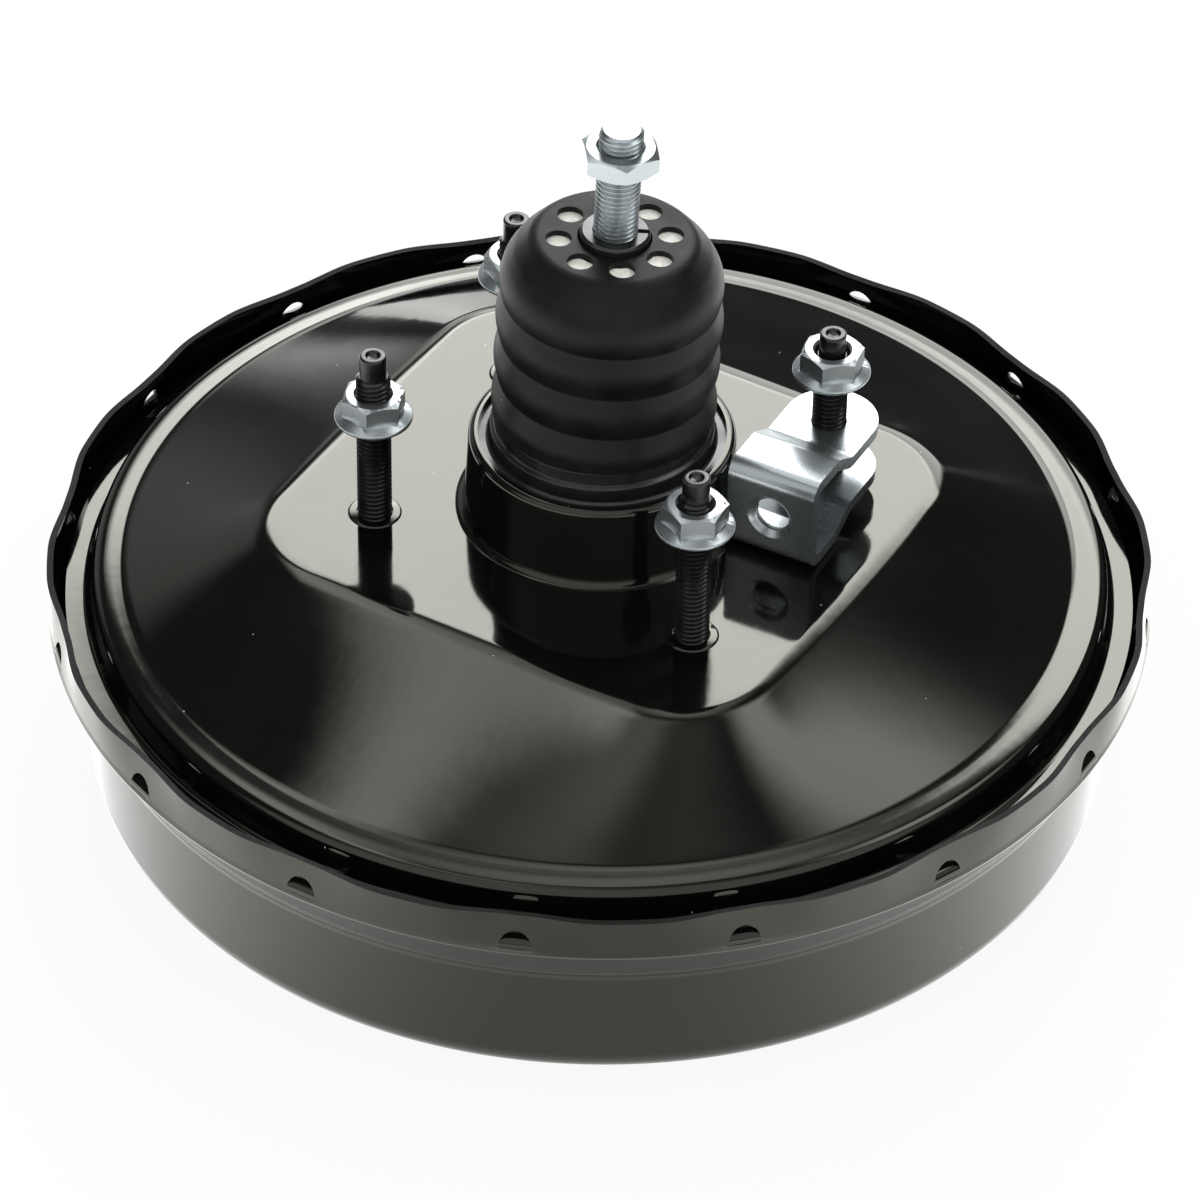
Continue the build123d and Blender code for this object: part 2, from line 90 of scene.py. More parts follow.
# ---- shells
SHEET = 1.5
RIM_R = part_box("front_shell")[1].x / MM
RIM_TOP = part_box("front_shell")[1].z / MM
BAND_LOW = 44.2
BAND_FOOT = BAND_LOW + 1.2
BAND_ROWS = 14
SHOULDER = 33.4
BEAD = 0.2
WALL_TOP_R = RIM_R - 6.6
WALL_FOOT_R = RIM_R - 8.4
FOOT_BEND = 8
RECESS = 17
RECESS_R = 50
RECESS_MOUTH_R = 56
FRONT_HOLE_R = 15.2
VALVE_Y, VALVE_HOLE_R = -38.0, 8.5
LANCES = 16
SECTOR_STEPS = 24
DENT_DEEP = 1.6
DENT_FLAT, DENT_HALF = 0.8, 8.6
LANCE_LOW = 45.2
LANCE_WIDE = 7.4
LANCE_HIGH = 4.8
TAB_WIDE, TAB_LONG, TAB_THICK = 8.2, 4.6, 1.1
TAB_BEND, TAB_BEND_LONG, TAB_STEPS = 66, 3, 12
RIM_ROUND = 0.3
EDGE_ROUND = 0.25
FLANGE_R = RIM_R - 4
FLANGE_TOP = 46.3
LAND_OUT_R = FLANGE_R - 6.5
LAND_IN_R = LAND_OUT_R - 7.5
LAND = 54
LAND_SLOPE, LAND_CROWN = 0.3, 0.12
LAND_HIGH = LAND + LAND_SLOPE
PAD = 69
PAD_X, PAD_Y, PAD_CORNER = 130, 118, 22
CORNER_STEPS, SIDE_STEPS = 20, 40
NECK_R, NECK_TOP_R, NECK_TOP = 31.6, 30.6, 89.7
NECK_LIP_R, NECK_FILLET = 28.5, 2.1
PAD_BEND = 2.2
SEAT_R = 6.35

# ---- studs, nuts and rod
STUD_X, STUD_Y = 42, 31
STUD_TIP = 114
M8_R, M8_ROOT, M8_PITCH = 4.0, 3.35, 1.25
DOG_R, DOG_LONG, DIMPLE_R = 3.1, 5.8, 1.3
NUT_BOTTOMS = {"left": 96.3, "front": 99.8, "right": 102.6, "rear": 97.0}
STUD_SPOTS = {
    "left": (-STUD_X, -STUD_Y),
    "front": (STUD_X, -STUD_Y),
    "right": (STUD_X, STUD_Y),
    "rear": (-STUD_X, STUD_Y),
}
NUT_TURNS = {"left": 20, "front": 5, "right": 12, "rear": 0}
NUT_FLATS, NUT_HIGH, NUT_FLANGE_R = 13, 7, 8.95
BALL, BALL_R = 92, 4.9
LEAN, LEAN_TO = 2.2, 30
M10_R, M10_ROOT, M10_PITCH = 5.0, 4.2, 1.25
ROD_THREAD_LOW, ROD_TIP = 142.5, 173
ROD_NECK_R, ROD_R = 3.6, 4
ROD_FLANGE_R, ROD_FLANGE_LOW, ROD_FLANGE_THICK = 8.6, BALL + 24.8, 1.6
JAM_FLATS, JAM_LOW, JAM_THICK, JAM_TURN = 16, 163.5, 5, 39

# ---- neck collar, boot and foam
COLLAR_FOOT_R, COLLAR_R, COLLAR_TIP_R, COLLAR_SHEET = 25.7, 24.8, 23.4, 1.3
COLLAR_SEAT, COLLAR_STEP_LOW, COLLAR_STEP_HIGH, COLLAR_TOP = 88.2, 92.7, 96.2, 101
BOOT_LOW, BOOT_TOP, BOOT_R, BOOT_WALL, BOOT_HOLE_R = 96.4, 144, 25.3, 1.4, 8.4
BOOT_GROOVES = (105.6, 116.6, 128)
GROOVE_DEEP, RIB_HIGH, RIB_STEP = 0.75, 0.8, 5.75
VENTS, VENT_R, VENT_CIRCLE_R, VENT_TURN = 8, 3, 12.6, 38
FOAM_LOW, FOAM_TOP, FOAM_HOLE_R, FOAM_R = 139.4, 142.4, 9.7, 17.4
ROD_COLLAR_R, ROD_COLLAR_HALF = 8, 1.8

# ---- fork head
FORK_TURN, FORK_WIDE, FORK_BASE, FORK_SHEET = 92.5, 21.6, 29.5, 2.8
FORK_LOW, FORK_HIGH = 69.35, 23.6
FORK_JOGGLE, FORK_BEND, FORK_HOLE_R = 3.9, 4, 4.15
STEP_START, STEP_END = 13, 20
FORK_END = FORK_BASE + 12
# longer than the fork is high, for what cuts through both of its ears
FORK_CUT = 60

# ---- master cylinder side
FRONT_STUD_TIP, FRONT_STUD_TOP = 0.5, 19
FRONT_STUD_SPOTS = ((-34, 0), (34, 0))


# ======== modelling helpers
def deselect():
    if bpy.context.mode != "OBJECT":
        bpy.ops.object.mode_set(mode="OBJECT")
    bpy.ops.object.select_all(action="DESELECT")


def only(piece):
    deselect()
    piece.select_set(True)
    bpy.context.view_layer.objects.active = piece


def started(name):
    # names the primitive just added and brings its place into its mesh
    piece = bpy.context.object
    piece.name = piece.data.name = name
    bpy.ops.object.transform_apply(location=True, rotation=True, scale=True)
    return piece


def bent(corners, bends, steps=5):
    # the corners of an open outline, each inner one rounded to its bend radius
    points = [Vector(corners[0])]
    for before, corner, after, bend in zip(corners, corners[1:], corners[2:], bends):
        corner = Vector(corner)
        back = (Vector(before) - corner).normalized()
        ahead = (Vector(after) - corner).normalized()
        half = back.angle(ahead) / 2
        if bend == 0:
            points.append(corner)
            continue
        middle = corner + (back + ahead).normalized() * bend / math.sin(half)
        start = (corner + back * bend / math.tan(half) - middle).normalized()
        end = (corner + ahead * bend / math.tan(half) - middle).normalized()
        points += [middle + start.slerp(end, i / steps) * bend for i in range(steps + 1)]
    return points + [Vector(corners[-1])]


def extrude_rings(points):
    # the selected ring is extruded again and again, each time moved and sized to the outline's next point
    for (r0, z0), (r1, z1) in zip(points, points[1:]):
        bpy.ops.mesh.extrude_edges_move(TRANSFORM_OT_translate={"value": (0, 0, z1 - z0)})
        bpy.ops.transform.resize(value=(r1 / r0, r1 / r0, 1), center_override=(0, 0, z1))


def close_up(piece):
    if bpy.context.mode == "OBJECT":
        only(piece)
        bpy.ops.object.mode_set(mode="EDIT")
    bpy.ops.mesh.select_all(action="SELECT")
    bpy.ops.mesh.remove_doubles(threshold=PIN)
    bpy.ops.mesh.normals_make_consistent(inside=False)
    bpy.ops.object.mode_set(mode="OBJECT")


def lathe(name, outline, segments=96, closed=False):
    deselect()
    radius, height = outline[0]
    bpy.ops.mesh.primitive_circle_add(vertices=segments, radius=radius, location=(0, 0, height))
    piece = started(name)
    bpy.ops.object.mode_set(mode="EDIT")
    extrude_rings(list(outline) + ([outline[0]] if closed else []))
    close_up(piece)
    return piece


def select_edges(piece, test):
    # selects, in edit mode, the edges whose two ends pass the test
    if bpy.context.mode != "OBJECT":
        bpy.ops.object.mode_set(mode="OBJECT")
    only(piece)
    mesh = piece.data
    mesh.vertices.foreach_set("select", [False] * len(mesh.vertices))
    mesh.polygons.foreach_set("select", [False] * len(mesh.polygons))
    for edge in mesh.edges:
        a, b = (mesh.vertices[i] for i in edge.vertices)
        edge.select = test(a.co, b.co)
        if edge.select:
            a.select = b.select = True
    bpy.context.tool_settings.mesh_select_mode = (False, True, False)
    bpy.ops.object.mode_set(mode="EDIT")


def modify(piece, kind, **settings):
    only(piece)
    modifier = piece.modifiers.new(kind.lower(), kind)
    for key, value in settings.items():
        setattr(modifier, key, value)
    bpy.ops.object.modifier_apply(modifier=modifier.name)


def thicken(piece, thick):
    modify(piece, "SOLIDIFY", thickness=thick, offset=-1, use_even_offset=True, use_quality_normals=True)


def round_edges(piece, width, segments=2, angle=40):
    modify(
        piece, "BEVEL", width=width, segments=segments, limit_method="ANGLE", angle_limit=math.radians(angle),
        use_clamp_overlap=True, harden_normals=False,
    )


def combine(piece, tool, operation="DIFFERENCE"):
    modify(piece, "BOOLEAN", object=tool, operation=operation, solver="EXACT")
    bpy.data.objects.remove(tool)


def copied(piece, name):
    twin = piece.copy()
    twin.data = piece.data.copy()
    twin.name = twin.data.name = name
    bpy.context.scene.collection.objects.link(twin)
    return twin


def joined(name, pieces):
    deselect()
    for piece in pieces:
        piece.select_set(True)
    bpy.context.view_layer.objects.active = pieces[0]
    bpy.ops.object.join()
    pieces[0].name = pieces[0].data.name = name
    return pieces[0]


def moved(piece, matrix):
    piece.data.transform(matrix)
    return piece


def turned_about_axis(degrees):
    return Matrix.Rotation(math.radians(degrees), 4, "Z")


def around(piece, name, count, start=0):
    # copies of one piece at even turns about the upright axis, joined
    ring = [moved(copied(piece, name), turned_about_axis(start + k * 360 / count)) for k in range(count)]
    bpy.data.objects.remove(piece)
    return joined(name, ring)


def finish(piece, material, body, smooth=35, replaces=()):
    only(piece)
    bpy.ops.object.mode_set(mode="EDIT")
    bpy.ops.mesh.select_all(action="SELECT")
    bpy.ops.transform.resize(value=(MM, MM, MM), center_override=(0, 0, 0))
    bpy.ops.object.mode_set(mode="OBJECT")
    bpy.ops.object.shade_smooth_by_angle(angle=math.radians(smooth))
    modify(piece, "WEIGHTED_NORMAL", keep_sharp=True)
    piece.data.materials.clear()
    piece.data.materials.append(material)
    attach(piece, body)
    if replaces:
        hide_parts(*replaces)
    return piece


def at_spots(piece, name, spots):
    # copies of one piece at places in plan, joined
    copies = [moved(copied(piece, name), Matrix.Translation((x, y, 0))) for x, y in spots]
    bpy.data.objects.remove(piece)
    return joined(name, copies)


# ======== finishes
def new_group(name, inputs, outputs):
    group = bpy.data.node_groups.new(name, "ShaderNodeTree")
    for way, sockets in (("INPUT", inputs), ("OUTPUT", outputs)):
        for socket, kind in sockets.items():
            group.interface.new_socket(socket, in_out=way, socket_type="NodeSocket" + kind)
    return group, group.nodes.new("NodeGroupInput"), group.nodes.new("NodeGroupOutput")


def math_node(tree, operation, *values):
    node = tree.nodes.new("ShaderNodeMath")
    node.operation = operation
    for socket, value in zip(node.inputs, values):
        if isinstance(value, bpy.types.NodeSocket):
            tree.links.new(value, socket)
        else:
            socket.default_value = value
    return node.outputs["Value"]


def noise(tree, vector, scale, detail=3.0):
    texture = tree.nodes.new("ShaderNodeTexNoise")
    tree.links.new(vector, texture.inputs["Vector"])
    texture.inputs["Detail"].default_value = detail
    if isinstance(scale, bpy.types.NodeSocket):
        tree.links.new(scale, texture.inputs["Scale"])
    else:
        texture.inputs["Scale"].default_value = scale
    return texture.outputs["Fac"]


def spread(tree, value, low, high):
    # the middle of a noise's range opened out to the whole of 0 to 1
    span = tree.nodes.new("ShaderNodeMapRange")
    tree.links.new(value, span.inputs["Value"])
    span.inputs["From Min"].default_value = low
    span.inputs["From Max"].default_value = high
    return span.outputs["Result"]


def mottle_group():
    # broad patches of two colours and roughnesses, with broad waves and fine grain in the surface
    numbers = ("Broad Scale", "Fine Scale", "Rough Low", "Rough High", "Broad Depth", "Fine Depth")
    group, entry, out = new_group(
        "mottle",
        {"Low Colour": "Color", "High Colour": "Color", **dict.fromkeys(numbers, "Float")},
        {"Colour": "Color", "Roughness": "Float", "Normal": "Vector"},
    )
    place = group.nodes.new("ShaderNodeTexCoord").outputs["Object"]
    broad = noise(group, place, entry.outputs["Broad Scale"], 4)
    fine = noise(group, place, entry.outputs["Fine Scale"], 3)
    patches = spread(group, broad, 0.35, 0.65)
    colour = group.nodes.new("ShaderNodeMix")
    colour.data_type = "RGBA"
    group.links.new(patches, colour.inputs["Factor"])
    group.links.new(entry.outputs["Low Colour"], colour.inputs["A"])
    group.links.new(entry.outputs["High Colour"], colour.inputs["B"])
    group.links.new(colour.outputs["Result"], out.inputs["Colour"])
    rough = group.nodes.new("ShaderNodeMix")
    uneven = math_node(group, "MULTIPLY", math_node(group, "ADD", patches, fine), 0.6)
    group.links.new(uneven, rough.inputs["Factor"])
    group.links.new(entry.outputs["Rough Low"], rough.inputs["A"])
    group.links.new(entry.outputs["Rough High"], rough.inputs["B"])
    group.links.new(rough.outputs["Result"], out.inputs["Roughness"])
    waves = group.nodes.new("ShaderNodeBump")
    group.links.new(broad, waves.inputs["Height"])
    group.links.new(entry.outputs["Broad Depth"], waves.inputs["Distance"])
    grain = group.nodes.new("ShaderNodeBump")
    group.links.new(fine, grain.inputs["Height"])
    group.links.new(entry.outputs["Fine Depth"], grain.inputs["Distance"])
    group.links.new(waves.outputs["Normal"], grain.inputs["Normal"])
    group.links.new(grain.outputs["Normal"], out.inputs["Normal"])
    return group


def speck_group():
    # sparse round specks, such as dust on paint
    numbers = dict.fromkeys(("Scale", "Size", "Share"), "Float")
    group, entry, out = new_group("specks", numbers, {"Mask": "Float"})
    cells = group.nodes.new("ShaderNodeTexVoronoi")
    group.links.new(group.nodes.new("ShaderNodeTexCoord").outputs["Object"], cells.inputs["Vector"])
    group.links.new(entry.outputs["Scale"], cells.inputs["Scale"])
    near = math_node(group, "LESS_THAN", cells.outputs["Distance"], entry.outputs["Size"])
    split = group.nodes.new("ShaderNodeSeparateColor")
    group.links.new(cells.outputs["Color"], split.inputs["Color"])
    chosen = math_node(group, "LESS_THAN", split.outputs["Red"], entry.outputs["Share"])
    group.links.new(math_node(group, "MULTIPLY", near, chosen), out.inputs["Mask"])
    return group


mottle = mottle_group()
specks = speck_group()
DUST = (0.4, 0.4, 0.37, 1)
DUST_CELLS, DUST_SIZE = 260, 0.055


def make_material(name, colour, metallic=0.0, roughness=0.4, ior=1.5, tint=(1, 1, 1)):
    material = bpy.data.materials.new(name)
    material.use_nodes = True
    shader = material.node_tree.nodes["Principled BSDF"]
    shader.inputs["Base Color"].default_value = (*colour, 1)
    shader.inputs["Metallic"].default_value = metallic
    shader.inputs["Roughness"].default_value = roughness
    shader.inputs["IOR"].default_value = ior
    shader.inputs["Specular Tint"].default_value = (*tint, 1)
    return material


def worn(name, low, high, rough, broad, fine, depths, dust=0.0, **shading):
    # a finish whose colour and roughness vary between two limits; scales are per metre, depths in micrometres
    material = make_material(name, low, roughness=rough[0], **shading)
    tree = material.node_tree
    shader = tree.nodes["Principled BSDF"]
    patches = tree.nodes.new("ShaderNodeGroup")
    patches.node_tree = mottle
    patches.inputs["Low Colour"].default_value = (*low, 1)
    patches.inputs["High Colour"].default_value = (*high, 1)
    values = {
        "Broad Scale": broad, "Fine Scale": fine, "Rough Low": rough[0], "Rough High": rough[1],
        "Broad Depth": depths[0] * 1e-6, "Fine Depth": depths[1] * 1e-6,
    }
    for socket, value in values.items():
        patches.inputs[socket].default_value = value
    colour = patches.outputs["Colour"]
    if dust:
        spots = tree.nodes.new("ShaderNodeGroup")
        spots.node_tree = specks
        spots.inputs["Scale"].default_value = DUST_CELLS
        spots.inputs["Size"].default_value = DUST_SIZE
        spots.inputs["Share"].default_value = dust
        dusty = tree.nodes.new("ShaderNodeMix")
        dusty.data_type = "RGBA"
        tree.links.new(spots.outputs["Mask"], dusty.inputs["Factor"])
        tree.links.new(colour, dusty.inputs["A"])
        dusty.inputs["B"].default_value = DUST
        colour = dusty.outputs["Result"]
    tree.links.new(colour, shader.inputs["Base Color"])
    tree.links.new(patches.outputs["Roughness"], shader.inputs["Roughness"])
    tree.links.new(patches.outputs["Normal"], shader.inputs["Normal"])
    return material


gloss_black = worn(
    "gloss black paint", (0.0025, 0.0025, 0.0025), (0.004, 0.004, 0.0038), (0.035, 0.1),
    32, 900, (80, 0.6), 0.05, ior=1.52, tint=(1, 0.985, 0.86),
)
cut_edge = worn(
    "dull cut edge", (0.004, 0.004, 0.004), (0.009, 0.009, 0.0085), (0.45, 0.6), 300, 2500, (6, 4), ior=1.2
)
black_steel = worn(
    "black thread coating", (0.003, 0.003, 0.003), (0.009, 0.009, 0.009), (0.13, 0.26),
    220, 2500, (4, 2), ior=1.47,
)
dark_steel = worn(
    "dark pressed steel", (0.04, 0.04, 0.042), (0.07, 0.07, 0.072), (0.3, 0.5), 90, 1500, (8, 3), metallic=0.6
)
zinc = worn(
    "bright zinc plate", (0.36, 0.4, 0.415), (0.43, 0.465, 0.48), (0.23, 0.3),
    70, 1800, (6, 1.2), metallic=0.9,
)
spring_steel = worn(
    "plain steel", (0.36, 0.36, 0.37), (0.5, 0.5, 0.5), (0.25, 0.4), 120, 2000, (6, 2), metallic=1
)
rubber = worn(
    "moulded rubber", (0.004, 0.004, 0.0042), (0.008, 0.008, 0.0081), (0.36, 0.5),
    130, 3200, (20, 6), 0.03, ior=1.27,
)
black_moulding = worn(
    "black moulding", (0.008, 0.008, 0.008), (0.014, 0.014, 0.014), (0.12, 0.3), 140, 1800, (8, 2), ior=1.52
)
brown_plastic = worn("brown resin", (0.13, 0.08, 0.045), (0.19, 0.12, 0.07), (0.4, 0.55), 90, 1500, (10, 4))
pale_plastic = worn(
    "pale bearing plastic", (0.66, 0.64, 0.57), (0.78, 0.77, 0.71), (0.35, 0.5), 90, 1500, (8, 3)
)
white_foam = worn(
    "white filter foam", (0.78, 0.76, 0.68), (0.95, 0.94, 0.89), (0.85, 1.0), 500, 1500, (250, 300)
)

finishes = {
    "gloss_black_paint": gloss_black, "black_steel": black_steel, "dark_steel": dark_steel, "zinc": zinc,
    "spring_steel": spring_steel, "rubber": rubber, "black_plastic": black_moulding,
    "brown_plastic": brown_plastic, "pale_plastic": pale_plastic, "white_foam": white_foam,
}


def finish_cad_nodes():
    for subpart in frame["record"]["subparts"]:
        node = frame["nodes"].get(subpart["node"])
        if node is not None:
            node.data.materials.clear()
            node.data.materials.append(finishes[subpart["material_slot"]])


finish_cad_nodes()


# ======== front shell: wall, crimped rim and its lances
def smooth_step(value):
    value = min(max(value, 0), 1)
    return value * value * (3 - 2 * value)


def dent_rim(piece):
    # the band leans in above each lance, most of all at the rim's top
    sector = 360 / LANCES
    foot = BAND_LOW + 0.4
    for vertex in piece.data.vertices:
        x, y, z = vertex.co
        if z < BAND_LOW:
            continue
        turn = math.degrees(math.atan2(y, x))
        from_lance = abs((turn + sector / 2) % sector - sector / 2)
        fade = 1 - smooth_step((from_lance - DENT_FLAT) / (DENT_HALF - DENT_FLAT))
        inward = DENT_DEEP * fade * max(z - foot, 0) / (RIM_TOP - foot)
        size = 1 - inward / math.hypot(x, y)
        vertex.co = (x * size, y * size, z)


def lance_cutter():
    deselect()
    bpy.ops.mesh.primitive_cylinder_add(vertices=40, radius=1, depth=9, rotation=(0, math.pi / 2, 0))
    cutter = started("lance_cutter")
    arch = Matrix.Diagonal((1, LANCE_WIDE / 2, LANCE_HIGH, 1))
    moved(cutter, Matrix.Translation((RIM_R - 1, 0, LANCE_LOW)) @ arch)
    bpy.ops.object.mode_set(mode="EDIT")
    bpy.ops.mesh.select_all(action="SELECT")
    bpy.ops.mesh.bisect(plane_co=(0, 0, LANCE_LOW), plane_no=(0, 0, 1), clear_inner=True, use_fill=True)
    bpy.ops.object.mode_set(mode="OBJECT")
    return around(cutter, "lance_cutters", LANCES)


def recess_holes():
    # for the master cylinder's two studs and the check valve's grommet
    stud_holes = [(x, y, M8_R + 0.3) for x, y in FRONT_STUD_SPOTS]
    holes = []
    for x, y, radius in [*stud_holes, (0, VALVE_Y, VALVE_HOLE_R)]:
        deselect()
        bpy.ops.mesh.primitive_cylinder_add(vertices=64, radius=radius, depth=8, location=(x, y, RECESS))
        holes.append(started("recess_hole"))
    return holes


def lance_tab():
    # half-moon tongue hinged on the straight lower edge of its opening and bent in over the flange
    deselect()
    bpy.ops.mesh.primitive_grid_add(x_subdivisions=28, y_subdivisions=14, size=2)
    tab = started("lance_tab")
    for vertex in tab.data.vertices:
        across, up, _ = vertex.co
        length = TAB_LONG * math.sqrt(max(1 - across * across, 0)) * (up + 1) / 2
        piece = length / TAB_STEPS
        inward = rise = 0
        for step in range(TAB_STEPS):
            lean = math.radians(TAB_BEND) * smooth_step((step + 0.5) * piece / TAB_BEND_LONG)
            inward += math.sin(lean) * piece
            rise += math.cos(lean) * piece
        vertex.co = (-inward, across * TAB_WIDE / 2, rise)
    close_up(tab)
    if tab.data.polygons[len(tab.data.polygons) // 2].normal.x < 0:
        tab.data.flip_normals()
    thicken(tab, TAB_THICK)
    moved(tab, Matrix.Translation((RIM_R - 0.15, 0, LANCE_LOW)))
    round_edges(tab, 0.2, 2, 50)
    return around(tab, "lance_tabs", LANCES)


def front_outline():
    corners = [
        (FRONT_HOLE_R, RECESS), (RECESS_R, RECESS), (RECESS_MOUTH_R, 0), (WALL_FOOT_R, 0),
        (WALL_TOP_R - 0.1, SHOULDER - 2), (WALL_TOP_R + BEAD, SHOULDER - 0.7), (WALL_TOP_R + BEAD, SHOULDER),
        (RIM_R - 0.1, BAND_LOW - 0.5), (RIM_R + BEAD, BAND_LOW + 0.2), (RIM_R, BAND_FOOT),
    ]
    band = [(RIM_R, BAND_FOOT + (RIM_TOP - BAND_FOOT) * row / BAND_ROWS) for row in range(1, BAND_ROWS + 1)]
    return bent(corners, [3, 3, FOOT_BEND, 2, 0.5, 1.2, 1.2, 0.5]) + band


def build_shell_front():
    shell = lathe("shell_front", front_outline(), LANCES * SECTOR_STEPS)
    dent_rim(shell)
    thicken(shell, SHEET)
    round_edges(shell, RIM_ROUND, 3, 60)
    combine(shell, joined("cutters", [lance_cutter(), *recess_holes()]))
    round_edges(shell, EDGE_ROUND, 3, 60)
    return shell


def dull_rim_edge(shell):
    # the sheet's cut edge all round the top of the finished rim
    shell.data.materials.append(cut_edge)
    for face in shell.data.polygons:
        if face.normal.z > 0.8 and face.center.z > (RIM_TOP - RIM_ROUND) * MM:
            face.material_index = 1


shell_front = finish(
    build_shell_front(), gloss_black, "housing", 30, ["front_shell"]
)
dull_rim_edge(shell_front)
finish(lance_tab(), gloss_black, "housing", 40)


# ======== rear shell: flat pad pressed up out of a round land, with the neck drawn from it
def ring(name, radius, height, count):
    deselect()
    bpy.ops.mesh.primitive_circle_add(vertices=count, radius=radius, location=(0, 0, height))
    return started(name)


def pad_outline():
    # rounded rectangle with as many points as the land's circle
    deselect()
    bpy.ops.mesh.primitive_plane_add(size=1, location=(0, 0, PAD))
    outline = moved(started("pad_outline"), Matrix.Diagonal((PAD_X, PAD_Y, 1, 1)))
    bpy.ops.object.mode_set(mode="EDIT")
    bpy.ops.mesh.select_all(action="SELECT")
    bpy.ops.mesh.bevel(offset=PAD_CORNER, segments=CORNER_STEPS, affect="VERTICES")
    bpy.ops.mesh.delete(type="ONLY_FACE")
    select_edges(outline, lambda a, b: (a - b).length > PAD_CORNER)
    bpy.ops.mesh.subdivide(number_cuts=SIDE_STEPS - 1)
    bpy.ops.object.mode_set(mode="OBJECT")
    return outline


def on_ring(radius, height):
    # a test for edges that lie on a circle about the upright axis
    def near(point):
        return abs(point.z - height) < 0.01 and abs(math.hypot(point.x, point.y) - radius) < 0.05

    return lambda a, b: near(a) and near(b)


def on_pad_edge(a, b):
    def near(point):
        beyond_x = abs(point.x) - PAD_X / 2 + PAD_CORNER
        beyond_y = abs(point.y) - PAD_Y / 2 + PAD_CORNER
        reach = math.hypot(max(beyond_x, 0), max(beyond_y, 0)) + min(max(beyond_x, beyond_y), 0)
        return abs(reach - PAD_CORNER) < 0.03 and abs(point.z - PAD) < 0.01

    return near(a) and near(b)


def build_shell_rear():
    count = 4 * (CORNER_STEPS + SIDE_STEPS)
    neck_foot_r = NECK_R + NECK_FILLET
    edges = [
        pad_outline(),
        ring("land_edge", LAND_IN_R, LAND_HIGH, count),
        ring("neck_foot", neck_foot_r, PAD, count),
    ]
    piece = joined("shell_rear", edges)
    select_edges(piece, lambda a, b: math.hypot(*a.xy) > PAD_Y / 2 - 1)
    bpy.ops.mesh.bridge_edge_loops(number_cuts=10, interpolation="LINEAR")
    select_edges(piece, lambda a, b: on_pad_edge(a, b) or on_ring(neck_foot_r, PAD)(a, b))
    bpy.ops.mesh.bridge_edge_loops(number_cuts=8, interpolation="LINEAR")
    select_edges(piece, on_pad_edge)
    bpy.ops.mesh.bevel(offset=PAD_BEND, segments=5, affect="EDGES")
    crown_r = (LAND_IN_R + LAND_OUT_R) / 2
    land = bent(
        [
            (LAND_IN_R, LAND_HIGH), (crown_r, LAND + LAND_CROWN), (LAND_OUT_R, LAND - LAND_SLOPE),
            (LAND_OUT_R + 1.2, FLANGE_TOP), (FLANGE_R, FLANGE_TOP),
        ],
        [30, 2.6, 1.6],
    )
    select_edges(piece, on_ring(LAND_IN_R, LAND_HIGH))
    extrude_rings(land)
    neck = bent(
        [(neck_foot_r + 0.01, PAD), (NECK_R, PAD), (NECK_TOP_R, NECK_TOP), (NECK_LIP_R, NECK_TOP)],
        [NECK_FILLET, 1.6],
    )[1:]
    select_edges(piece, on_ring(neck_foot_r, PAD))
    extrude_rings([(neck_foot_r, PAD), *neck])
    select_edges(piece, on_ring(LAND_IN_R, LAND_HIGH))
    bpy.ops.mesh.bevel(offset=1.2, segments=4, affect="EDGES")
    close_up(piece)
    thicken(piece, SHEET)
    return piece


def build_stud_seats():
    # low ring pressed up round each stud
    hole_r = M8_R + 0.1
    outline = [(hole_r, PAD - 0.2), (hole_r, PAD + 0.5), (SEAT_R - 0.4, PAD + 0.35), (SEAT_R, PAD - 0.2)]
    return at_spots(lathe("stud_seat", bent(outline, [0.2, 0.5]), 48), "stud_seats", STUD_SPOTS.values())


# ======== threads, studs and nuts
def drawn(name, points):
    # a line drawn point after point in the upright plane through the axis
    deselect()
    bpy.ops.mesh.primitive_plane_add(size=1, location=(points[0][0], 0, points[0][1]))
    piece = started(name)
    bpy.context.tool_settings.mesh_select_mode = (True, False, False)
    bpy.ops.object.mode_set(mode="EDIT")
    bpy.ops.mesh.select_all(action="SELECT")
    bpy.ops.mesh.merge(type="CENTER")
    for (x0, z0), (x1, z1) in zip(points, points[1:]):
        bpy.ops.mesh.extrude_vertices_move(TRANSFORM_OT_translate={"value": (x1 - x0, 0, z1 - z0)})
    bpy.ops.object.mode_set(mode="OBJECT")
    return piece


def threaded(name, crest, root, pitch, low, high, chamfer, steps=32):
    # one pitch of the thread's outline is screwed up the shank, then trimmed to a bar with a chamfered end
    outline = [
        (root, 0), (root, pitch * 0.1), (crest, pitch * 0.44), (crest, pitch * 0.56), (root, pitch * 0.9),
        (root, pitch),
    ]
    turns = math.ceil((high - low) / pitch) + 2
    piece = drawn(name, [(radius, low - pitch + rise) for radius, rise in outline])
    modify(
        piece, "SCREW", axis="Z", screw_offset=pitch, iterations=turns, steps=steps, render_steps=steps,
        use_merge_vertices=True, merge_threshold=0.001,
    )
    bpy.ops.object.mode_set(mode="EDIT")
    bpy.ops.mesh.select_all(action="SELECT")
    bpy.ops.mesh.remove_doubles(threshold=0.001)
    for height, side in ((low, "clear_inner"), (high, "clear_outer")):
        bpy.ops.mesh.select_all(action="SELECT")
        bpy.ops.mesh.bisect(plane_co=(0, 0, height), plane_no=(0, 0, 1), use_fill=True, **{side: True})
    bpy.ops.mesh.select_all(action="SELECT")
    bpy.ops.mesh.normals_make_consistent(inside=False)
    bpy.ops.object.mode_set(mode="OBJECT")
    side = crest + 0.5
    bar = [
        (PIN, low - 1), (side, low - 1), (side, high - chamfer - 0.5), (crest - chamfer, high + 0.01),
        (PIN, high + 0.01),
    ]
    combine(piece, lathe("bar", bar, 48, closed=True), "INTERSECT")
    return piece


